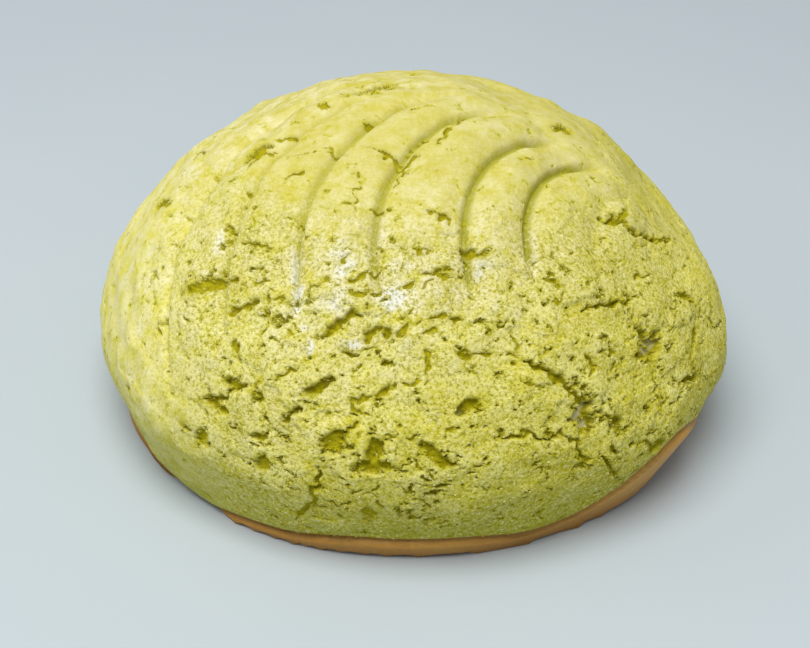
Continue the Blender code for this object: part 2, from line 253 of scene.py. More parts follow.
# %% Places and directions on the dome
def dome_points(arc, angle, lift):
    """Places on the dome at an arc length and compass angle, lifted off it along its normal."""
    radius = np.interp(arc, ARC, RADIUS) + lift * np.interp(arc, ARC, LEAN_OUT)
    height = np.interp(arc, ARC, HEIGHT) + lift * np.interp(arc, ARC, LEAN_UP)
    squeeze = BUN_DEPTH / BUN_WIDTH
    return np.column_stack([radius * np.cos(angle), radius * np.sin(angle) * squeeze, height])


def dome_normals(arc, angle):
    out = np.interp(arc, ARC, LEAN_OUT)
    return np.column_stack([out * np.cos(angle), out * np.sin(angle), np.interp(arc, ARC, LEAN_UP)])


def smooth_step(low, high, value):
    x = np.clip((value - low) / (high - low), 0.0, 1.0)
    return x * x * (3 - 2 * x)


LEANS_IN = ((-23.0, 14.0, 0.034), (-117.0, 19.0, -0.020))
LEAN_HEIGHT = 13.0 * MM


def lean_in(points):
    """Draw the foot of the bun in at the front right and let it spread at the front left."""
    angle = np.degrees(np.arctan2(points[:, 1], points[:, 0]))
    low = 1 - smooth_step(0.0, LEAN_HEIGHT, points[:, 2])
    for heading, reach, share in LEANS_IN:
        points[:, :2] *= (1 - share * low * np.exp(-(((angle - heading) / reach) ** 2)))[:, None]


def lumps(points, size, seed, waves=22):
    """Soft lumps of about one size: plane waves in random directions, added up."""
    lot = np.random.default_rng(seed)
    heading = lot.normal(size=(waves, 3))
    heading /= np.linalg.norm(heading, axis=1)[:, None]
    turns = FULL_TURN / (size * lot.uniform(0.75, 1.5, waves))
    phase = lot.uniform(0, FULL_TURN, waves)
    return np.sin(points @ (heading * turns[:, None]).T + phase).sum(axis=1) / math.sqrt(waves)


# %% [markdown]
# ## How thick the crust is, and where it ends
# The cookie dough is about 3.6 mm thick on top and thins down the side. It ends in a wavy lip a few
# millimetres above the table, and much higher at the right in front, where the bread pushed out.

# %% Thickness and lower lip
CRUST_THICK = 3.6 * MM
CRUST_THIN = 1.5 * MM
THIN_FROM = 60.0 * MM
THIN_TO = 86.0 * MM
GAP = 0.3 * MM
LEAST_WALL = 0.7 * MM
RIM_ANGLES = (-139, -127, -115, -101, -92, -80, -66, -54, -47, -38, -20, 10, 45, 85, 120, 160, 190)
RIM_HEIGHTS_MM = (1.2, 1.2, 2.4, 4.3, 5.6, 3.8, 3.4, 5.5, 10.6, 14.2, 9.5, 5.0, 3.2, 4.6, 2.6, 3.6, 2.6)
RIM_SOFTENING = (-0.08, 0.0, 0.08)
LOWEST_RIM = 1.1 * MM


def crust_thickness(arc):
    return CRUST_THICK + (CRUST_THIN - CRUST_THICK) * smooth_step(THIN_FROM, THIN_TO, arc)


def rim_arc(angle):
    """How far down the side the crust reaches at a compass angle."""
    keys = np.radians(RIM_ANGLES)
    heights = np.array(RIM_HEIGHTS_MM) * MM
    near = [np.interp(angle + turn, keys, heights, period=FULL_TURN) for turn in RIM_SOFTENING]
    height = np.mean(near, axis=0)
    height = height + 0.4 * MM * np.sin(9 * angle + 1.0) + 0.3 * MM * np.sin(17 * angle)
    height = np.maximum(height, LOWEST_RIM)
    return np.interp(-height, -HEIGHT, ARC)


# %% [markdown]
# ## Marks that make this bun itself
# A few swells, pits and long cracks are large enough to know the bun by, so they are placed one
# by one on the flat disc, in millimetres. So are the short splits that follow them, and everything
# smaller is left to rules further down.

# %% Swells, pits and long cracks, placed one by one
SWELLS_MM = (
    (72.0, -16.0, 13.0, 0.9),
    (40.0, -12.0, 10.0, 0.5),
    (-70.0, -22.0, 18.0, -0.9),
    (-44.0, 24.0, 16.0, -0.2),
    (8.0, -62.0, 20.0, 0.4),
    (30.0, 60.0, 22.0, -0.6),
    (-25.0, 58.0, 20.0, 0.6),
    (-10.0, 26.0, 24.0, -0.4),
    (20.0, 24.0, 16.0, -0.4),
    (4.0, 18.0, 9.0, -0.2),
)
SLIPPED_MM = (53.0, 3.0, 12.0, 17.0, 3.2)
SLIPPED_EDGE_MM = ((43.2, -19.8), (60.0, -6.5))
PITS_MM = (
    (46.6, -41.1, 8.5, 4.6, 2.0, 55),
    (34.8, -59.3, 5.6, 4.4, 2.2, 20),
    (42.6, -57.4, 3.6, 2.6, 1.5, 0),
    (-14.8, -68.4, 5.4, 3.3, 1.5, 5),
    (-6.9, -70.6, 4.2, 3.8, 1.6, 70),
    (-6.8, -72.8, 9.2, 2.3, 1.4, -3),
    (5.0, -70.6, 7.0, 2.2, 1.3, -28),
    (11.0, -62.3, 4.6, 1.9, 1.4, 30),
    (9.6, -63.2, 1.9, 1.9, 1.8, 0),
    (-38.7, -35.7, 9.0, 2.4, 0.9, -12),
    (-7.5, 5.2, 9.0, 3.0, 1.6, 25),
    (-28.5, -9.8, 4.4, 3.4, 1.6, 35),
    (-49.5, -7.2, 8.0, 2.2, 0.9, -52),
    (-44.6, -61.2, 4.6, 2.6, 1.3, 5),
    (-31.4, -69.7, 4.6, 2.4, 1.3, -15),
    (-8.8, -82.8, 2.8, 3.0, 1.1, 0),
    (56.2, -55.6, 4.6, 2.2, 1.2, 35),
    (26.8, 0.2, 4.0, 2.4, 1.3, 30),
    (22.0, 38.0, 7.0, 3.4, 1.6, -20),
    (-34.0, 46.0, 6.0, 3.0, 1.5, 40),
    (52.0, 34.0, 6.5, 2.8, 1.4, -60),
)
CRACKS_MM = (
    (0.80, 1.6, ((34.6, -21.6), (37.0, -19.7), (40.0, -20.9), (44.3, -18.9), (49.8, -14.4), (55.5, -9.9))),
    (0.65, 1.3, ((30.4, -42.4), (34.2, -39.8), (37.2, -37.8), (41.6, -34.8))),
    (0.70, 1.4, ((20.4, -53.6), (24.7, -54.1), (29.0, -55.4), (32.8, -56.8), (35.4, -59.1))),
    (
        0.80,
        1.3,
        ((-18.6, -72.7), (-19.2, -75.2), (-21.0, -76.5), (-20.8, -78.8), (-24.2, -80.7), (-28.0, -83.2)),
    ),
    (0.55, 1.1, ((33.2, -63.2), (36.8, -65.7), (40.8, -66.8))),
    (0.55, 1.1, ((41.4, -63.7), (46.0, -65.2), (51.8, -66.1))),
    (0.55, 1.2, ((58.0, -26.6), (59.0, -31.1), (58.4, -35.0), (61.0, -39.6))),
    (0.55, 1.1, ((52.1, -26.3), (56.4, -23.8))),
    (0.55, 1.1, ((-8.0, -15.5), (-3.6, -18.2), (-1.5, -21.9))),
    (0.55, 1.1, ((-42.4, -55.2), (-36.4, -57.1), (-32.4, -55.2))),
    (0.55, 1.0, ((18.0, -66.7), (23.2, -64.9), (27.6, -65.7))),
)
CRACK_WANDER = 0.40 * MM
print(len(SWELLS_MM), "swells,", len(PITS_MM), "pits,", len(CRACKS_MM), "long cracks")

# %% [markdown]
# Shorter splits give the crust its face as well. Each is written as u, v, length, width and the
# direction in which it runs, in millimetres and degrees, to the nearest half millimetre.

# %% Short splits, placed one by one
SPLITS_MM = (
    (36, -21, 5, 1.1, 20), (39.5, -20.5, 5.5, 1.1, 5), (38, -18, 5, 0.7, 70), (49.5, -13.5, 21, 0.6, 50),
    (5, -31, 4, 1.1, -25), (7, -8, 5.5, 0.9, -115), (5, -12, 5, 0.9, -115), (1, -14, 3.5, 0.7, -140),
    (-1, -19, 4, 1.1, -125), (-2.5, -22, 4.5, 0.7, -110), (26, -0.5, 3.5, 0.9, 5), (35.5, 6, 3, 0.6, -45),
    (19.5, -14, 2.5, 0.6, 5), (24.5, -39, 3.5, 0.7, 0), (34.5, -33, 2, 0.7, 0), (43, -29, 5, 0.7, 30),
    (54, -26, 6.5, 0.9, 30), (25.5, -42, 2.5, 0.6, 40), (37.5, -47, 5.5, 0.7, 25),
    (34, -50, 2.5, 0.9, -15), (34, -51.5, 2.5, 0.7, -100), (32, -63.5, 6.5, 1.1, 5),
    (38, -65.5, 3, 1.1, -5), (38.5, -67.5, 3, 1.1, 5), (44, -62, 3, 1.1, 0), (22, -57, 5, 0.7, -10),
    (18.5, -50.5, 2.5, 0.6, -65), (18.5, -53.5, 2.5, 0.7, -20), (54, -56.5, 5.5, 0.7, 15),
    (52.5, -49.5, 3, 0.6, -50), (50, -46.5, 3.5, 0.6, -55), (61, -38.5, 8, 1.7, 45),
    (51.5, -30, 6, 0.6, 80), (59, -29.5, 4.5, 0.7, -70), (63, -23.5, 3.5, 0.7, 10),
    (-31.5, -43, 5, 1.1, 0), (-51, -38.5, 4, 0.8, -70), (-27, -48.5, 3, 0.6, 50),
    (-32.5, -50, 3.5, 1.3, -75), (-33.5, -55.5, 5, 1.7, -30), (-29, -58.5, 3, 1.1, -35),
    (-39.5, -57, 4, 1.5, -50), (-48.5, -58, 3.5, 0.7, -45), (-36.5, -62, 3.5, 0.7, -25),
    (-30.5, -65, 4.5, 1.1, -25), (-10.5, 3, 6, 0.9, 10), (-5, 4.5, 7.5, 0.9, 25), (-17, 0.5, 4, 0.7, -50),
    (-8, -8.5, 3, 0.7, -30), (-23, -8, 4.5, 0.6, -10), (-29, -12, 4, 0.7, 60), (-26.5, -11, 4, 0.7, -20),
    (-40.5, 1.5, 5, 0.9, -55), (-14, -15.5, 5.5, 0.6, -35), (-10, -21.5, 1.5, 0.7, -80),
    (-10, -27, 4.5, 0.5, -90), (-6.5, -30, 2.5, 0.6, -30), (-20.5, -19.5, 3.5, 0.6, 25),
    (-29.5, -31, 5, 0.6, -25), (-26.5, -33, 4, 0.6, -35), (-26.5, -39.5, 4, 0.6, -10),
    (-13, -49.5, 8, 1.5, 30), (-7, -51.5, 3, 1.1, 35), (-5, -51.5, 3.5, 1.1, -25),
    (-1, -51, 4.5, 0.7, 25), (-11, -54.5, 4.5, 0.9, -20), (-8, -54.5, 3.5, 0.7, 20),
    (4.5, -49, 3.5, 0.7, 20), (7.5, -49, 3, 0.9, 15), (-9, -45, 4, 0.7, -15), (-6.5, -45, 3, 0.9, 15),
    (-9.5, -42, 4, 0.9, 25), (-7, -41.5, 3, 0.6, 5), (-16.5, -42.5, 3, 0.7, 20),
    (-11.5, -38.5, 2.5, 0.7, 30), (5, -41, 6, 1.1, 10), (5, -42, 2.5, 0.7, 5), (-1, -44, 2.5, 0.7, 25),
    (2.5, -43.5, 3, 0.6, 30), (1, -37.5, 3, 0.6, -10), (9.5, -37, 3.5, 1.3, -20),
    (11.5, -37, 3.5, 1.1, 25), (9.5, -54.5, 3.5, 0.9, -10), (12.5, -54, 4, 0.7, 10),
    (3, -57, 4, 0.6, -85), (3, -51.5, 2.5, 0.7, 25), (-22.5, -56, 4.5, 0.7, 20), (-8.5, -62, 4, 0.7, 5),
    (-5, -61, 5, 0.9, 30), (0, -59.5, 3, 0.6, 10), (-11, -66.5, 3.5, 0.7, 30), (-23, -63, 4, 1.7, 30),
    (-16.5, -59, 4.5, 1.9, 20), (-10, -63.5, 3, 0.7, -55), (-17, -79.5, 4, 0.6, -30),
    (-14, -80, 3.5, 0.6, 20), (-6.5, -80, 2.5, 0.9, -70), (-8.5, -83.5, 3, 1.1, 5),
    (7.5, -67, 2.5, 0.6, 30), (1, -68, 3, 0.7, 15), (-2, -66.5, 2, 0.6, 70), (-10.5, -77, 2, 0.6, 10),
    (-7, -77, 2.5, 0.6, 25), (0.5, -77.5, 3, 0.6, -25), (2, -79, 2.5, 0.6, -10), (-1, -73, 2.5, 0.6, 25),
    (-24, -43.5, 3, 0.7, -10), (-21.5, -49.5, 1.5, 0.6, -20), (-23, -52, 1.5, 0.5, 60),
    (2, -72.5, 2.5, 0.6, -55), (5, -74, 2, 0.5, -55), (-4, -68, 2, 0.5, 25), (-9.5, -57, 2, 0.6, 35),
)
SPLIT_DEPTHS = 0.9
print(len(SPLITS_MM), "short splits")


# %% Dig a pit, open a crack
def pit_level(u, v, wobble, pit):
    """How far inside a rounded hollow a place is: 1 in its middle, 0 outside."""
    pu, pv, length, width, _, turn = pit
    turn = math.radians(turn)
    du, dv = u / MM - pu, v / MM - pv
    along = (du * math.cos(turn) + dv * math.sin(turn)) / (length / 2)
    aside = (dv * math.cos(turn) - du * math.sin(turn)) / (width / 2)
    return np.clip(1.5 - np.hypot(along, aside) * (1 + 0.22 * wobble), 0.0, 1.0)


def crack_level(u, v, half_width, points):
    """The same for a split along a bent line, which tapers to both ends."""
    points = np.array(points) * MM
    steps = np.diff(points, axis=0)
    lengths = np.hypot(steps[:, 0], steps[:, 1])
    starts = np.append(0.0, np.cumsum(lengths))
    found = np.zeros(len(u))
    for (pu, pv), (su, sv), length, start in zip(points[:-1], steps, lengths, starts[:-1]):
        t = np.clip(((u - pu) * su + (v - pv) * sv) / length**2, 0.0, 1.0)
        away = np.hypot(u - pu - t * su, v - pv - t * sv)
        whole = (start + t * length) / starts[-1]
        taper = np.sqrt(np.clip(1 - np.abs(2 * whole - 1) ** 3, 0.05, 1.0))
        found = np.maximum(found, np.clip(1.25 - away / (half_width * MM * taper), 0.0, 1.0))
    return found


def placed_marks(u, v, plain):
    """Level and depth of whichever placed mark goes deepest at each place."""
    wobble = lumps(plain, 2.6 * MM, 21)
    wander_u = u + CRACK_WANDER * lumps(plain, 1.7 * MM, 22)
    wander_v = v + CRACK_WANDER * lumps(plain, 1.7 * MM, 23)
    level, deep = np.zeros(len(u)), np.zeros(len(u))

    def dig(here, inside, depth):
        """Keep the deeper of two marks where they overlap."""
        deep[here] = np.where(inside > level[here], depth * MM, deep[here])
        level[here] = np.maximum(level[here], inside)

    for pit in PITS_MM:
        here = np.hypot(u - pit[0] * MM, v - pit[1] * MM) < pit[2] * MM
        dig(here, pit_level(u[here], v[here], wobble[here], pit), pit[4])
    for wide, depth, line in CRACKS_MM:
        here = np.hypot(u - line[0][0] * MM, v - line[0][1] * MM) < 30 * MM
        dig(here, crack_level(wander_u[here], wander_v[here], wide, line), depth)
    for su, sv, length, width, turn in SPLITS_MM:
        here = np.hypot(u - su * MM, v - sv * MM) < length * MM
        depth = SPLIT_DEPTHS * width
        split = (su, sv, length, width, depth, turn)
        dig(here, pit_level(wander_u[here], wander_v[here], wobble[here], split), depth)
    return level, deep


def swell(u, v):
    """Swells and hollows, and the plate on the right that slipped down behind a straight edge."""
    lift = np.zeros(len(u))
    for su, sv, reach, height in np.array(SWELLS_MM) * MM:
        lift += height * np.exp(-(((u - su) ** 2 + (v - sv) ** 2) / reach**2))
    pu, pv, reach_u, reach_v, drop = np.array(SLIPPED_MM) * MM
    (au, av), (bu, bv) = np.array(SLIPPED_EDGE_MM) * MM
    above = ((v - av) * (bu - au) - (u - au) * (bv - av)) / math.hypot(bu - au, bv - av)
    plate = smooth_step(-0.4 * MM, 0.8 * MM, above)
    return lift - drop * plate * np.exp(-(((u - pu) / reach_u) ** 2 + ((v - pv) / reach_v) ** 2))


# %% [markdown]
# ## The crust's blank
# The crust is a shell: an outer face, a lip, and an inner face that fits over the bread. A sphere of
# even triangles is closed already, so its northern part is pulled over the dome as the outer face,
# and its southern cap is folded up inside as the inner face. Each point also stores where it is on
# the flat disc, which way is out, and how deep the marks above go there.

# %% Pull a ball into a shell
BALL_LEVEL = 9
SIDE_ENDS = math.radians(135)
LIP_ROLL = 0.9
CRUST_LUMPS_MM = ((17.0, 0.36), (6.5, 0.20))


def ball_points(level):
    maker = bmesh.new()
    bmesh.ops.create_icosphere(maker, subdivisions=level, radius=1.0)
    mesh = bpy.data.meshes.new("ball")
    maker.to_mesh(mesh)
    maker.free()
    points = np.empty(len(mesh.vertices) * 3, np.float32)
    mesh.vertices.foreach_get("co", points)
    return mesh, points.reshape(-1, 3).astype(np.float64)


def store(mesh, name, values):
    """Keep one number or one vector for each point of a mesh."""
    is_vector = values.ndim == 2
    kind, field = ("FLOAT_VECTOR", "vector") if is_vector else ("FLOAT", "value")
    slot = mesh.attributes.new(name, kind, "POINT")
    slot.data.foreach_set(field, np.asarray(values, np.float32).ravel())


def crust_blank():
    mesh, ball = ball_points(BALL_LEVEL)
    angle = np.arctan2(ball[:, 1], ball[:, 0])
    fall = np.arccos(np.clip(ball[:, 2], -1.0, 1.0))
    outside = fall <= SIDE_ENDS
    edge = rim_arc(angle)
    share = np.where(outside, fall / SIDE_ENDS, (math.pi - fall) / (math.pi - SIDE_ENDS))
    arc = edge * share
    u, v = arc * np.cos(angle), arc * np.sin(angle)
    wall = crust_thickness(arc) - GAP
    roll = np.clip((arc - edge) / (LIP_ROLL * wall) + 1, 0.0, 1.0)
    turned = wall / 2 * (1 - np.sqrt(1 - roll**2))
    plain = dome_points(arc, angle, np.zeros(len(arc)))
    lift = swell(u, v)
    for seed, (size, height) in enumerate(CRUST_LUMPS_MM):
        lift += height * MM * lumps(plain, size * MM, seed)
    away_from_lip = 1 - smooth_step(0.0, 1.0, (arc - edge) / (3 * MM) + 1)
    points = dome_points(arc, angle, np.where(outside, lift * away_from_lip - turned, turned - wall))
    lean_in(points)
    mesh.vertices.foreach_set("co", points.astype(np.float32).ravel())
    level, deep = placed_marks(u, v, plain)
    store(mesh, "rest_place", points)
    store(mesh, "flat_place", np.column_stack([u, v, np.zeros(len(u))]))
    store(mesh, "outward", dome_normals(arc, angle))
    store(mesh, "outer_face", np.where(outside, away_from_lip, 0.0))
    store(mesh, "mark_level", level)
    store(mesh, "mark_depth", deep)
    store(mesh, "wall", wall + np.minimum(lift, 0.0))
    return mesh


blank_mesh = crust_blank()
blank_mesh.name = "crust_blank"
blank = bpy.data.objects.new("crust_blank", blank_mesh)
bpy.context.scene.collection.objects.link(blank)
print("the blank has", len(blank_mesh.polygons), "triangles")

# %% [markdown]
# ## Press and bake the crust with Geometry Nodes
# The shell stamp follows a rule: every groove is a circle through one hinge, each larger than the
# last. For a point q away from the hinge, the circle through both has the radius q.q / (2 q.e), where
# e heads for the circles' centres. So one formula finds the nearest groove, with no loop.
# The crust also crumbles by itself, most in front, and more along the edges between random cells.
# The cells are squashed, so that most of their edges run round the bun.

# %% Start the tree, with named inputs
bake = bpy.data.node_groups.new("press_and_bake", "GeometryNodeTree")
bake.is_modifier = True
bake.interface.new_socket("Geometry", in_out="INPUT", socket_type="NodeSocketGeometry")
BAKE_SIZES = {
    "First radius": 17.8 * MM,
    "Radius step": 6.7 * MM,
    "Step growth": 0.12 * MM,
    "Grooves": 7.0,
    "Groove depth": 1.3 * MM,
    "Groove width": 0.75 * MM,
    "Valley depth": 0.8 * MM,
    "Valley width": 2.8 * MM,
    "Press ends at": -41.0 * MM,
    "Plate size": 8.0 * MM,
    "Crumbled width": 1.4 * MM,
    "Pocket depth": 0.9 * MM,
    "Plate step": 0.35 * MM,
    "Grain height": 0.10 * MM,
}
for name in BAKE_SIZES:
    bake.interface.new_socket(name, in_out="INPUT", socket_type="NodeSocketFloat")
bake.interface.new_socket("Material", in_out="INPUT", socket_type="NodeSocketMaterial")
bake.interface.new_socket("Geometry", in_out="OUTPUT", socket_type="NodeSocketGeometry")
given = bake.nodes.new("NodeGroupInput").outputs
print("the tree takes", len(BAKE_SIZES), "sizes")

# %% The nearest groove of the shell
HINGE = (65.3 * MM, -16.5 * MM, 0.0)
FAN_HEADING = math.radians(211.5)
fan = (math.cos(FAN_HEADING), math.sin(FAN_HEADING), 0.0)
aside = (-fan[1], fan[0], 0.0)

flat = add(bake, "GeometryNodeInputNamedAttribute", {"Name": "flat_place"}, data_type="FLOAT_VECTOR")
q = add(bake, "ShaderNodeVectorMath", {0: flat, 1: HINGE}, operation="SUBTRACT")
q_along = add(bake, "ShaderNodeVectorMath", {0: q, 1: fan}, out="Value", operation="DOT_PRODUCT")
q_aside = add(bake, "ShaderNodeVectorMath", {0: q, 1: aside}, out="Value", operation="DOT_PRODUCT")
q_squared = add(bake, "ShaderNodeVectorMath", {0: q, 1: q}, out="Value", operation="DOT_PRODUCT")
q_length = calc(bake, "SQRT", q_squared)
along_safe = calc(bake, "MAXIMUM", q_along, 0.1 * MM)
twice = calc(bake, "MULTIPLY", along_safe, 2.0)
circle = calc(bake, "DIVIDE", q_squared, twice)

# Solve first + step k + growth k squared = circle for k, and round k to a whole groove.
past_first = calc(bake, "SUBTRACT", circle, given["First radius"])
step_squared = calc(bake, "POWER", given["Radius step"], 2.0)
growth_4 = calc(bake, "MULTIPLY", given["Step growth"], 4.0)
root_of = calc(bake, "MULTIPLY_ADD", growth_4, past_first, step_squared)
root_safe = calc(bake, "MAXIMUM", root_of, 0.0)
root = calc(bake, "SQRT", root_safe)
over = calc(bake, "SUBTRACT", root, given["Radius step"])
growth_2 = calc(bake, "MULTIPLY", given["Step growth"], 2.0)
k_exact = calc(bake, "DIVIDE", over, growth_2)
k_whole = calc(bake, "ROUND", k_exact)
k_last = calc(bake, "SUBTRACT", given["Grooves"], 1.0)
k_capped = calc(bake, "MINIMUM", k_whole, k_last)
k = calc(bake, "MAXIMUM", k_capped, 0.0)

# %% Distance to that groove, and its cross section
# The second groove of this stamp lies a little nearer to the hinge than the rule says.
SECOND_NARROWER = -1.1 * MM

k_step = calc(bake, "MULTIPLY_ADD", k, given["Step growth"], given["Radius step"])
radius = calc(bake, "MULTIPLY_ADD", k, k_step, given["First radius"])
is_second = calc(bake, "COMPARE", k, 2.0, 0.5)
radius = calc(bake, "MULTIPLY_ADD", is_second, SECOND_NARROWER, radius)
centre = add(bake, "ShaderNodeVectorMath", {0: fan, "Scale": radius}, operation="SCALE")
from_centre = add(bake, "ShaderNodeVectorMath", {0: q, 1: centre}, out="Value", operation="DISTANCE")
off_circle = calc(bake, "SUBTRACT", from_centre, radius)
off_size = calc(bake, "ABSOLUTE", off_circle)
is_first = calc(bake, "LESS_THAN", k, 0.5)
off = calc(bake, "MULTIPLY_ADD", is_first, 1.5 * MM, off_size)


def bell(depth, width):
    """A smooth dip of that depth on the groove's line, fading over that width."""
    across = calc(bake, "DIVIDE", off, width)
    squared = calc(bake, "POWER", across, 2.0)
    minus = calc(bake, "MULTIPLY", squared, -1.0)
    share = calc(bake, "EXPONENT", minus)
    return calc(bake, "MULTIPLY", share, depth)


groove = bell(given["Groove depth"], given["Groove width"])
valley = bell(given["Valley depth"], given["Valley width"])
pressed_all = calc(bake, "ADD", groove, valley)
fainter = add(bake, "ShaderNodeMapRange", {"Value": k, 1: 1.0, 2: 6.0, 3: 1.0, 4: 0.6})
pressed_all = calc(bake, "MULTIPLY", pressed_all, fainter)

# %% Where the stamp reached
PRESS_FADE = 10.0 * MM
v_place = add(bake, "ShaderNodeSeparateXYZ", {0: flat}, out="Y")
press_start = calc(bake, "SUBTRACT", given["Press ends at"], PRESS_FADE)
before_end = add(
    bake,
    "ShaderNodeMapRange",
    {"Value": v_place, 1: press_start, 2: given["Press ends at"]},
    interpolation_type="SMOOTHSTEP",
)
this_side = add(
    bake, "ShaderNodeMapRange", {"Value": q_aside, 1: 0.0, 2: -9.0 * MM}, interpolation_type="SMOOTHSTEP"
)
heads_out = calc(bake, "DIVIDE", q_along, q_length)
off_hinge = add(
    bake, "ShaderNodeMapRange", {"Value": heads_out, 1: 0.61, 2: 0.76}, interpolation_type="SMOOTHSTEP"
)
reached = calc(bake, "MULTIPLY", before_end, this_side)
reached = calc(bake, "MULTIPLY", reached, off_hinge)
pressed = calc(bake, "MULTIPLY", pressed_all, reached)

# %% Where the crust is sandy, and where it cracked most
flat_length = add(bake, "ShaderNodeVectorMath", {0: flat}, out="Value", operation="LENGTH")
u_place = add(bake, "ShaderNodeSeparateXYZ", {0: flat}, out="X")


def fade(place, low, high, least=0.0):
    """Rises softly to 1 as a place goes from the low end to the high one, and falls to the least."""
    ends = {"Value": place, 1: low * MM, 2: high * MM, 3: least}
    return add(bake, "ShaderNodeMapRange", ends, interpolation_type="SMOOTHSTEP")


grainy = 1.0
for place, low, high, least in (
    (flat_length, 26.0, 46.0, 0.45),
    (v_place, 5.0, -42.0, 0.5),
    (u_place, -62.0, -28.0, 0.45),
):
    grainy = calc(bake, "MULTIPLY", grainy, fade(place, low, high, least))
above_base = fade(flat_length, 100.0, 91.0)
cracked = calc(bake, "MULTIPLY", grainy, above_base)

# %% Where the crust gives way, and ragged places to draw that with
SQUASH = (1.0, 1.0, 1.6)


def noise_here(tree, vector, size, detail=2.0, out="Fac", roughness=0.5):
    """Noise with lumps of about that size in metres."""
    settings = {"Vector": vector, "Scale": 1 / size, "Detail": detail, "Roughness": roughness}
    return add(tree, "ShaderNodeTexNoise", settings, out=out)


rest = add(bake, "GeometryNodeInputNamedAttribute", {"Name": "rest_place"}, data_type="FLOAT_VECTOR")
ragged = rest
for size, reach in ((4.5 * MM, 3.0 * MM), (0.9 * MM, 0.9 * MM)):
    stir = noise_here(bake, rest, size, out="Color")
    centred = add(bake, "ShaderNodeVectorMath", {0: stir, 1: (0.5, 0.5, 0.5)}, operation="SUBTRACT")
    moved = add(bake, "ShaderNodeVectorMath", {0: centred, "Scale": reach}, operation="SCALE")
    ragged = add(bake, "ShaderNodeVectorMath", {0: ragged, 1: moved}, operation="ADD")
ragged = add(bake, "ShaderNodeVectorMath", {0: ragged, 1: SQUASH}, operation="MULTIPLY")

# 0 where the crust holds together and 1 where it gives way, which is rarer outside the cracked zone.
HOLDS_BELOW = 0.46
HOLDS_MORE_OUTSIDE = 0.24
GIVES_WITHIN = 0.16
strength = noise_here(bake, rest, 6.0 * MM, detail=1.5)
outside = calc(bake, "SUBTRACT", 1.0, cracked)
low = calc(bake, "MULTIPLY_ADD", outside, HOLDS_MORE_OUTSIDE, HOLDS_BELOW)
high = calc(bake, "ADD", low, GIVES_WITHIN)
gives_way = add(bake, "ShaderNodeMapRange", {"Value": strength, 1: low, 2: high})

# %% Lines along which the crust breaks up
EDGES_WEAKER_BY = 0.07
WEAKEST_OUTSIDE = -0.050
WEAKEST_INSIDE = 0.008

plate_cells = calc(bake, "DIVIDE", 1.0, given["Plate size"])
edge = add(
    bake, "ShaderNodeTexVoronoi", {"Vector": ragged, "Scale": plate_cells}, feature="DISTANCE_TO_EDGE"
)
off_edge = calc(bake, "MULTIPLY", edge, given["Plate size"])
on_edge = add(
    bake,
    "ShaderNodeMapRange",
    {"Value": off_edge, 1: given["Crumbled width"], 2: 0.0},
    interpolation_type="SMOOTHSTEP",
)
on_edge = calc(bake, "MULTIPLY", on_edge, gives_way)
on_edge = calc(bake, "MULTIPLY", on_edge, EDGES_WEAKER_BY)
rate = add(bake, "ShaderNodeMapRange", {"Value": cracked, 3: WEAKEST_OUTSIDE, 4: WEAKEST_INSIDE})
crumbly = calc(bake, "ADD", on_edge, rate)

# %% [markdown]
# ## Crumbled pockets, as a recipe for two trees
# Where cookie dough tears, crumbs fall out and leave small pockets with ragged edges. Noise in many
# sizes at once has just such edges, so a pocket is wherever that noise passes a threshold. The same
# recipe is used twice: here it moves the mesh, and later, in the crust's material, it gives the
# pockets crisp edges that are finer than the mesh. Both read the same stored places, so they agree.


# %% The pocket recipe
POCKET_EDGE = 0.62
POCKET_FLOOR = 0.68
TORN_MESH = (1.50, 2.10)
TORN_SHADE = (1.66, 1.92)


def weakness(tree, ragged, crumbly):
    """How weak the crust is; a pocket falls open wherever this passes the value of a pocket's edge."""
    coarse = noise_here(tree, ragged, 2.1 * MM, detail=5.0, roughness=0.68)
    return calc(tree, "ADD", coarse, crumbly)


def torn_open(tree, rest, level, shut, wide):
    """1 inside one of the listed marks and 0 outside, with an edge as ragged as a pocket's."""
    fray = noise_here(tree, rest, 1.1 * MM, detail=3.0, roughness=0.65)
    frayed = calc(tree, "MULTIPLY_ADD", fray, 2.4, level)
    reach = {"Value": frayed, 1: shut, 2: wide}
    return add(tree, "ShaderNodeMapRange", reach, interpolation_type="SMOOTHSTEP")


weak = weakness(bake, ragged, crumbly)
pocket = add(bake, "ShaderNodeMapRange", {"Value": weak, 1: POCKET_EDGE, 2: POCKET_FLOOR})
pocket_depth = calc(bake, "MULTIPLY", pocket, given["Pocket depth"])

# %% The listed marks
level = add(bake, "GeometryNodeInputNamedAttribute", {"Name": "mark_level"}, data_type="FLOAT")
depth = add(bake, "GeometryNodeInputNamedAttribute", {"Name": "mark_depth"}, data_type="FLOAT")
steep = torn_open(bake, rest, level, *TORN_MESH)
floor_noise = noise_here(bake, rest, 1.8 * MM)
rough_floor = add(bake, "ShaderNodeMapRange", {"Value": floor_noise, 1: 0.3, 2: 0.7, 3: 0.65, 4: 1.15})
hollow = calc(bake, "MULTIPLY", steep, depth)
hollow = calc(bake, "MULTIPLY", hollow, rough_floor)
dug = calc(bake, "MAXIMUM", pocket_depth, hollow)

# %% Plates that lifted as they baked
plate_cell = {"Vector": ragged, "Scale": plate_cells}
plate_lot = add(bake, "ShaderNodeTexVoronoi", plate_cell, out="Color", feature="F1")
plate_one = add(bake, "ShaderNodeSeparateXYZ", {0: plate_lot}, out="X")
plate_mid = calc(bake, "SUBTRACT", plate_one, 0.5)
plate_lift = calc(bake, "MULTIPLY", plate_mid, given["Plate step"])
plate_lift = calc(bake, "MULTIPLY", plate_lift, cracked)

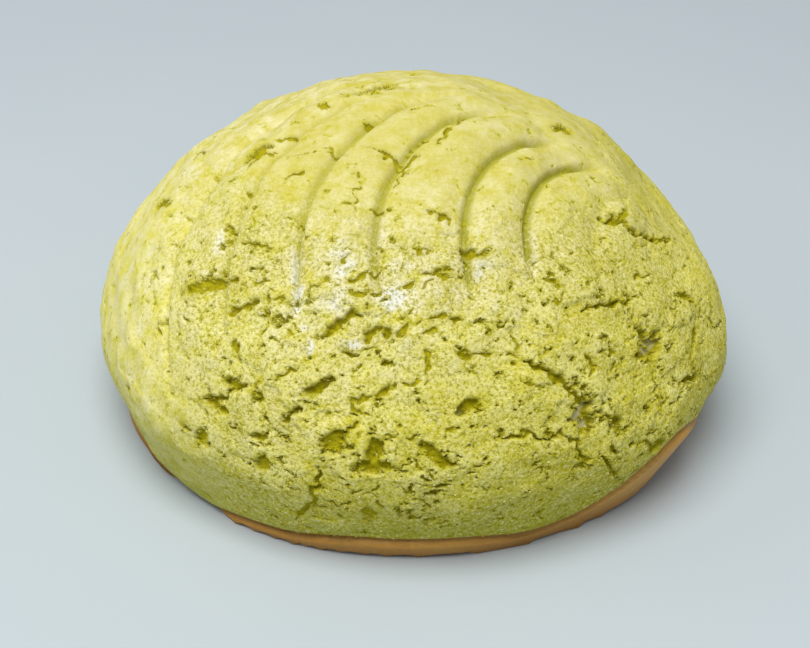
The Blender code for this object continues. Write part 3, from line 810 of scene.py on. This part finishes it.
# %% Sandy grain in three sizes
grain = 0.0
for size, share in ((3.0 * MM, 1.3), (1.4 * MM, 1.0), (0.75 * MM, 0.8)):
    sand = add(bake, "ShaderNodeTexNoise", {"Vector": rest, "Scale": 1 / size, "Detail": 0.0})
    sand = calc(bake, "SUBTRACT", sand, 0.5)
    grain = calc(bake, "MULTIPLY_ADD", sand, share, grain)
grain = calc(bake, "MULTIPLY", grain, given["Grain height"])
coarser = add(bake, "ShaderNodeMapRange", {"Value": grainy, 3: 0.5, 4: 2.2})
coarser = calc(bake, "MULTIPLY_ADD", level, 2.6, coarser)
grain = calc(bake, "MULTIPLY", grain, coarser)

# %% Add it all up and move the points
sunk = calc(bake, "ADD", dug, pressed)
wall = add(bake, "GeometryNodeInputNamedAttribute", {"Name": "wall"}, data_type="FLOAT")
deepest = calc(bake, "SUBTRACT", wall, LEAST_WALL)
sunk = calc(bake, "SMOOTH_MIN", sunk, deepest, 0.5 * MM)
proud = calc(bake, "ADD", plate_lift, grain)
lift = calc(bake, "SUBTRACT", proud, sunk)
outer_face = add(bake, "GeometryNodeInputNamedAttribute", {"Name": "outer_face"}, data_type="FLOAT")
lift = calc(bake, "MULTIPLY", lift, outer_face)
outward = add(bake, "GeometryNodeInputNamedAttribute", {"Name": "outward"}, data_type="FLOAT_VECTOR")
offset = add(bake, "ShaderNodeVectorMath", {0: outward, "Scale": lift}, operation="SCALE")
geometry = given["Geometry"]
kept_fields = {
    "crumbly": crumbly,
    "cracked": cracked,
    "grainy": grainy,
    "mark": level,
    "hollow": hollow,
    "pressed": pressed,
    "ragged": ragged,
}
for name, value in kept_fields.items():
    kind = "FLOAT_VECTOR" if name == "ragged" else "FLOAT"
    geometry = add(
        bake,
        "GeometryNodeStoreNamedAttribute",
        {"Geometry": geometry, "Name": name, "Value": value},
        data_type=kind,
    )
geometry = add(bake, "GeometryNodeSetPosition", {"Geometry": geometry, "Offset": offset})
geometry = add(bake, "GeometryNodeRealizeInstances", {"Geometry": geometry})
geometry = add(bake, "GeometryNodeSetMaterial", {"Geometry": geometry, "Material": given["Material"]})
add(bake, "NodeGroupOutput", {"Geometry": geometry})
print("the tree has", len(bake.nodes), "nodes")


# %% [markdown]
# ## The crust's finish: baked matcha cookie dough
# Cookie dough bakes matt and sandy, with grains of about half a millimetre. Its colour is built up
# in steps: soft clouds of two yellow-greens, a darker, yellower tint towards the top, a darker and
# greener one low down, which is painted shade and a painted reflection of the table, and then sugar,
# thin and pale in places and white in a few, with painted highlight along the grooves' lit flanks.
# Where the crust is pressed, crumbled or torn open, and between its grains, the colour is darker and
# deeper: that is painted shade in the hollows. The deepest pit floors are paler again.

# %% Cookie dough material
def new_material(name, roughness, **sockets):
    material = bpy.data.materials.new(name)
    material.use_nodes = True
    shader = material.node_tree.nodes["Principled BSDF"]
    shader.inputs["Roughness"].default_value = roughness
    for socket, value in sockets.items():
        shader.inputs[socket.replace("_", " ")].default_value = value
    return material, material.node_tree, shader


# Baked cookie dough looks dry and powdery, so it is rough and hardly shines.
cookie, dough, cookie_shader = new_material(
    "baked_matcha_cookie_dough", 0.78, IOR=1.33, Specular_IOR_Level=0.1
)


def kept(name, out="Fac"):
    """A field that the baking tree stored on the crust."""
    return add(dough, "ShaderNodeAttribute", out=out, attribute_name=name)


def blend(share, first, second, mode="MIX"):
    """Mix two colours of the dough; a share of 0 gives the first."""
    settings = {0: share, 6: first, 7: second}
    return add(dough, "ShaderNodeMix", settings, out=2, data_type="RGBA", blend_type=mode)


def ramp(value, low, high, most=1.0):
    """0 below low, the most above high, straight between."""
    return add(dough, "ShaderNodeMapRange", {"Value": value, 1: low, 2: high, 4: most})


rest = kept("rest_place", "Vector")
weak = weakness(dough, kept("ragged", "Vector"), kept("crumbly"))
pocket = ramp(weak, POCKET_EDGE, POCKET_FLOOR)
here = add(dough, "ShaderNodeTexCoord", out="Object")
fleck = noise_here(dough, here, 0.55 * MM, detail=3.0, roughness=0.75)

cloud = ramp(noise_here(dough, rest, 6 * MM, detail=4.0, roughness=0.65), 0.38, 0.62)
tone = blend(cloud, colour("#D4CA44"), colour("#E1DA78"))
height = add(dough, "ShaderNodeSeparateXYZ", {0: rest}, out="Z")
# Thin and white sugar, mixed with painted highlight on the grooves' lit flanks.
thin_sugar_and_highlight = ramp(noise_here(dough, rest, 3.2 * MM, detail=4.0, roughness=0.7), 0.36, 0.70)
sugar_and_highlight = kept("sugar_and_painted_highlight")
thin_sugar_and_highlight = calc(dough, "MULTIPLY", thin_sugar_and_highlight, sugar_and_highlight)
white_sugar_and_highlight = calc(dough, "SUBTRACT", sugar_and_highlight, 1.0)

# From the first layer of colour to the last: how much of it shows where, and its colour.
grainy = kept("grainy")
layers = (
    (ramp(height, 34 * MM, 56 * MM, 0.75), "#B8AE4C"),  # darker and yellower towards the top
    (ramp(height, 22 * MM, 3 * MM, 0.8), "#9A9C34"),  # darker and greener low down: painted shade and a painted reflection of the table
    (thin_sugar_and_highlight, "#EAE3BE"),  # thin sugar, and painted highlight on the grooves' lit flanks
    (white_sugar_and_highlight, "#E6E6D8"),  # white sugar, and some painted highlight on the grooves' lit flanks
    (ramp(kept("pressed"), 0.9 * MM, 1.9 * MM, 0.85), "#98961A"),  # painted shade on the grooves' floors
    (ramp(weak, 0.53, POCKET_EDGE, 0.8), "#B9B21C"),  # painted shade round the pockets' rims
    (ramp(fleck, 0.50, 0.34, ramp(grainy, 0.22, 0.85, 0.9)), "#968F06"),  # painted shade between the grains
    (ramp(fleck, 0.54, 0.68, ramp(grainy, 0.22, 0.85, 0.7)), "#EEE9B4"),  # paler on the grains' tops
    (ramp(kept("mark"), 0.0, 0.6, 0.6), "#B6AF1E"),  # painted shade in the pits and cracks
)
for share, tint in layers:
    tone = blend(share, tone, colour(tint))
torn = torn_open(dough, rest, kept("mark"), *TORN_SHADE)
opened = calc(dough, "MAXIMUM", pocket, torn)
# Painted shade: the colour is darkened where the crust is open, in the pockets and torn marks.
tone = blend(opened, tone, colour("#DCD85A"), "MULTIPLY")
tone = blend(ramp(kept("hollow"), 1.6 * MM, 2.1 * MM), tone, colour("#D6D09C"))
dough.links.new(tone, cookie_shader.inputs["Base Color"])

# %% Grain and pocket edges that are finer than the mesh
sandy = ramp(grainy, 0.1, 0.9, 0.34 * MM)
grain_up = calc(dough, "MULTIPLY", fleck, sandy)
relief = calc(dough, "MULTIPLY_ADD", opened, -0.12 * MM, grain_up)
bumps = add(dough, "ShaderNodeBump", {"Height": relief, "Strength": 1.0, "Distance": 1.0})
dough.links.new(bumps, cookie_shader.inputs["Normal"])


# %% Run the tree and keep a plain mesh
CRUST_TRIANGLES = 195000


def plain_mesh(obj, name):
    """The mesh that an object's modifiers make, on a new object without them."""
    graph = bpy.context.evaluated_depsgraph_get()
    mesh = bpy.data.meshes.new_from_object(obj.evaluated_get(graph))
    mesh.name = name
    made = bpy.data.objects.new(name, mesh)
    bpy.context.scene.collection.objects.link(made)
    old = obj.data
    bpy.data.objects.remove(obj)
    bpy.data.meshes.remove(old)
    return made


def set_inputs(modifier, values):
    """Set a Geometry Nodes modifier's inputs by name, through each socket's identifier."""
    sockets = {item.name: item.identifier for item in modifier.node_group.interface.items_tree}
    for name, value in values.items():
        modifier[sockets[name]] = value


press = blank.modifiers.new("press and bake", "NODES")
press.node_group = bake
set_inputs(press, {**BAKE_SIZES, "Material": cookie})
thin_out = blank.modifiers.new("fewer faces", "DECIMATE")
thin_out.ratio = min(1.0, CRUST_TRIANGLES / len(blank_mesh.polygons))
crust = plain_mesh(blank, "crust_shell")
crust.data.shade_smooth()
print("the crust has", len(crust.data.polygons), "triangles")


# %% Sugar bloom, and painted highlight on the grooves' flanks
SUGAR_AND_HIGHLIGHT_MM = (
    (-2.0, -41.0, 26.0, 15.0, 0, 0.9),
    (-60.0, -22.0, 34.0, 44.0, 0, 0.75),
    (-20.0, 14.0, 40.0, 26.0, 0, 0.6),
    (24.0, -12.0, 26.0, 22.0, 0, 0.35),
    (-20.0, -62.0, 24.0, 14.0, 0, 0.3),
    (-21.2, -37.6, 0.6, 2.7, 0, 1.2),
    (-21.2, -40.0, 0.6, 0.8, 0, 2.2),
    (-20.4, -42.8, 1.0, 1.0, 0, 2.2),
    (-20.7, -45.3, 0.8, 1.5, -5, 1.6),
    (-19.4, -49.4, 0.6, 0.6, -10, 2.0),
    (-18.2, -52.7, 0.6, 1.3, -8, 2.4),
    (-3.5, -46.2, 1.8, 1.5, 0, 3.0),
    (-11.6, -40.4, 2.0, 0.8, 35, 1.3),
    (-10.5, -53.2, 1.8, 0.8, 0, 1.3),
    (-13.8, -45.6, 3.1, 2.3, 0, 0.6),
    # These three narrow streaks are painted highlight on the grooves' lit flanks, not sugar.
    (10.8, -34.0, 0.6, 2.7, 0, 0.5),
    (11.4, -40.2, 1.0, 2.3, 0, 1.0),
    (21.2, -34.0, 0.6, 6.2, 0, 0.9),
    (-35.2, -28.0, 0.8, 3.1, -12, 1.3),
    (-12.6, -37.0, 2.7, 3.1, 0, 0.5),
)


def sugar_and_painted_highlight(mesh):
    """Dried sugar, and painted highlight on the grooves' lit flanks: soft ovals on the flat disc."""
    flat = np.empty(len(mesh.vertices) * 3, np.float32)
    mesh.attributes["flat_place"].data.foreach_get("vector", flat)
    u, v = flat.reshape(-1, 3)[:, 0], flat.reshape(-1, 3)[:, 1]
    sugar_and_highlight = np.zeros(len(u))
    for bu, bv, half_u, half_v, turn, strength in SUGAR_AND_HIGHLIGHT_MM:
        turn = math.radians(turn)
        du, dv = u / MM - bu, v / MM - bv
        along = (du * math.cos(turn) + dv * math.sin(turn)) / half_u
        aside = (dv * math.cos(turn) - du * math.sin(turn)) / half_v
        sugar_and_highlight += strength * np.exp(-(along**2 + aside**2))
    return np.clip(sugar_and_highlight, 0.0, 2.0)


store(crust.data, "sugar_and_painted_highlight", sugar_and_painted_highlight(crust.data))


# %% [markdown]
# ## The bread below
# The bread is a soft wheat bun, darker brown near the tray and golden above, where the crust shaded
# it. It is seen only as a band under the crust's lip, and from below, where it is flat.

# %% Bread skin
BREAD_LEVEL = 7
BREAD_LUMPS_MM = ((30.0, 0.30),)
BREAD_PROUD = 0.6 * MM
BULGE_STARTS = 0.1 * MM
BULGE_ENDS = 1.1 * MM


def bread_mesh():
    mesh, ball = ball_points(BREAD_LEVEL)
    angle = np.arctan2(ball[:, 1], ball[:, 0])
    fall = np.arccos(np.clip(ball[:, 2], -1.0, 1.0))
    share = np.minimum(fall / SIDE_ENDS, 1.0)
    arc = ARC[-1] * share
    points = dome_points(arc, angle, -crust_thickness(arc))
    points[:, 2] = np.maximum(points[:, 2], 0.0)
    under = np.clip(1 - points[:, 2] / BASE_EDGE, 0.0, 1.0)
    rim = np.interp(rim_arc(angle), ARC, HEIGHT)
    bare = 1 - smooth_step(rim - BULGE_ENDS, rim - BULGE_STARTS, points[:, 2])
    wider = bare * (CRUST_THIN + BREAD_PROUD) - BASE_EDGE * (1 - np.sqrt(1 - under**2))
    radius = np.hypot(points[:, 0], points[:, 1])
    points[:, :2] *= np.where(radius > BUN_WIDTH / 4, 1 + wider / np.maximum(radius, MM), 1.0)[:, None]
    cap = fall > SIDE_ENDS
    points[cap, :2] *= ((math.pi - fall[cap]) / (math.pi - SIDE_ENDS))[:, None]
    points[cap, 2] = 0.0
    outwards = points * (1, 1, 0) / (BUN_WIDTH / 2)
    clear_of_floor = smooth_step(0.0, BASE_EDGE, points[:, 2])
    for seed, (size, height) in enumerate(BREAD_LUMPS_MM):
        bulge = height * MM * lumps(points, size * MM, 40 + seed) * clear_of_floor
        points += outwards * bulge[:, None]
    lean_in(points)
    mesh.vertices.foreach_set("co", points.astype(np.float32).ravel())
    mesh.update()
    mesh.shade_smooth()
    return mesh


bread = bpy.data.objects.new("bread_bun", bread_mesh())
bread.data.name = "bread_bun"
bpy.context.scene.collection.objects.link(bread)

# %% Baked bread material
# Bread skin is browned and faintly glazed, so it is smoother than the crust and shines a little.
skin, crumb, skin_shader = new_material("baked_bread_skin", 0.5, IOR=1.45)
spot = add(crumb, "ShaderNodeTexCoord", out="Object")
height = add(crumb, "ShaderNodeSeparateXYZ", {0: spot}, out="Z")
mottle = add(crumb, "ShaderNodeTexNoise", {"Vector": spot, "Scale": 1 / (7 * MM), "Detail": 3.0})
mottle_mm = calc(crumb, "MULTIPLY_ADD", mottle, 3.0 * MM, height)
brown = add(crumb, "ShaderNodeMapRange", {"Value": mottle_mm, 1: 1.5 * MM, 2: 8.0 * MM})
browns = {0: brown, 6: colour("#A27022"), 7: colour("#C49440")}
tone = add(crumb, "ShaderNodeMix", browns, out=2, data_type="RGBA")
speck = add(crumb, "ShaderNodeTexNoise", {"Vector": spot, "Scale": 1 / (0.8 * MM), "Detail": 2.0})
speck = add(crumb, "ShaderNodeMapRange", {"Value": speck, 1: 0.3, 2: 0.7, 3: 0.92, 4: 1.06})
specked = {0: 1.0, 6: tone, 7: speck}
tone = add(crumb, "ShaderNodeMix", specked, out=2, data_type="RGBA", blend_type="MULTIPLY")
crumb.links.new(tone, skin_shader.inputs["Base Color"])
wrinkle = add(crumb, "ShaderNodeTexNoise", {"Vector": spot, "Scale": 1 / (1.3 * MM), "Detail": 3.0})
bumps = add(crumb, "ShaderNodeBump", {"Height": wrinkle, "Strength": 0.5, "Distance": 0.15 * MM})
crumb.links.new(bumps, skin_shader.inputs["Normal"])
bread.data.materials.append(skin)
print("the bread has", len(bread.data.polygons), "triangles")

# %% [markdown]
# ## Crumbs
# Tiny crumbs cling to the crust where it broke up most. Geometry Nodes strew points there, put a
# small rough grain on each, turned and sized at random, and make them real mesh.

# %% Strew crumbs with Geometry Nodes
strew = bpy.data.node_groups.new("strew_crumbs", "GeometryNodeTree")
strew.is_modifier = True
strew.interface.new_socket("Geometry", in_out="INPUT", socket_type="NodeSocketGeometry")
CRUMB_SIZES = {"Crumbs per square metre": 240000.0, "Smallest": 0.10 * MM, "Largest": 0.24 * MM}
for name in CRUMB_SIZES:
    strew.interface.new_socket(name, in_out="INPUT", socket_type="NodeSocketFloat")
strew.interface.new_socket("Seed", in_out="INPUT", socket_type="NodeSocketInt")
strew.interface.new_socket("Material", in_out="INPUT", socket_type="NodeSocketMaterial")
strew.interface.new_socket("Geometry", in_out="OUTPUT", socket_type="NodeSocketGeometry")
given = strew.nodes.new("NodeGroupInput").outputs
broken_up = add(strew, "GeometryNodeInputNamedAttribute", {"Name": "cracked"}, data_type="FLOAT")
is_broken = add(
    strew, "FunctionNodeCompare", {0: broken_up, 1: 0.75}, data_type="FLOAT", operation="GREATER_THAN"
)
points = add(
    strew,
    "GeometryNodeDistributePointsOnFaces",
    {
        "Mesh": given["Geometry"],
        "Selection": is_broken,
        "Density": given["Crumbs per square metre"],
        "Seed": given["Seed"],
    },
)
grit = add(strew, "GeometryNodeMeshIcoSphere", {"Radius": 1.0, "Subdivisions": 1})
any_turn = {0: (0.0, 0.0, 0.0), 1: (FULL_TURN,) * 3}
turn = add(strew, "FunctionNodeRandomValue", any_turn, data_type="FLOAT_VECTOR")
any_size = {2: given["Smallest"], 3: given["Largest"], "Seed": 3}
size = add(strew, "FunctionNodeRandomValue", any_size, out=1, data_type="FLOAT")
any_shape = {0: (0.7, 0.7, 0.7), 1: (1.3, 1.3, 1.3), "Seed": 5}
shape = add(strew, "FunctionNodeRandomValue", any_shape, data_type="FLOAT_VECTOR")
scale = add(strew, "ShaderNodeVectorMath", {0: shape, "Scale": size}, operation="SCALE")
grains = add(
    strew,
    "GeometryNodeInstanceOnPoints",
    {"Points": points, "Instance": grit, "Rotation": turn, "Scale": scale},
)
grains = add(strew, "GeometryNodeRealizeInstances", {"Geometry": grains})
grains = add(strew, "GeometryNodeSetMaterial", {"Geometry": grains, "Material": given["Material"]})
add(strew, "NodeGroupOutput", {"Geometry": grains})

# A dry crumb has the crust's own colours and is matt, so it only catches a little light.
crumb_material, crumb_tree, crumb_shader = new_material("dry_cookie_crumb", 0.85, Specular_IOR_Level=0.3)
crumb_spot = add(crumb_tree, "ShaderNodeTexCoord", out="Object")
crumb_mix = noise_here(crumb_tree, crumb_spot, 1.5 * MM, detail=1.0)
crumb_share = add(crumb_tree, "ShaderNodeMapRange", {"Value": crumb_mix, 1: 0.4, 2: 0.6})
crumb_colours = {0: crumb_share, 6: colour("#B8B038"), 7: colour("#D2CC7A")}
crumb_tone = add(crumb_tree, "ShaderNodeMix", crumb_colours, out=2, data_type="RGBA")
crumb_tree.links.new(crumb_tone, crumb_shader.inputs["Base Color"])

bed = bpy.data.objects.new("crumb_bed", crust.data.copy())
bpy.context.scene.collection.objects.link(bed)
scatter = bed.modifiers.new("strew", "NODES")
scatter.node_group = strew
set_inputs(scatter, {**CRUMB_SIZES, "Seed": 4, "Material": crumb_material})
crumbs = plain_mesh(bed, "crust_crumbs")
print("the crumbs have", len(crumbs.data.polygons), "triangles")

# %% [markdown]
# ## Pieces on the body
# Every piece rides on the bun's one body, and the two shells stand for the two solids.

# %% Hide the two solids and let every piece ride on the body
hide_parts("crust")
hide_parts("bread")
for piece in (crust, bread, crumbs):
    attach(piece, "root")
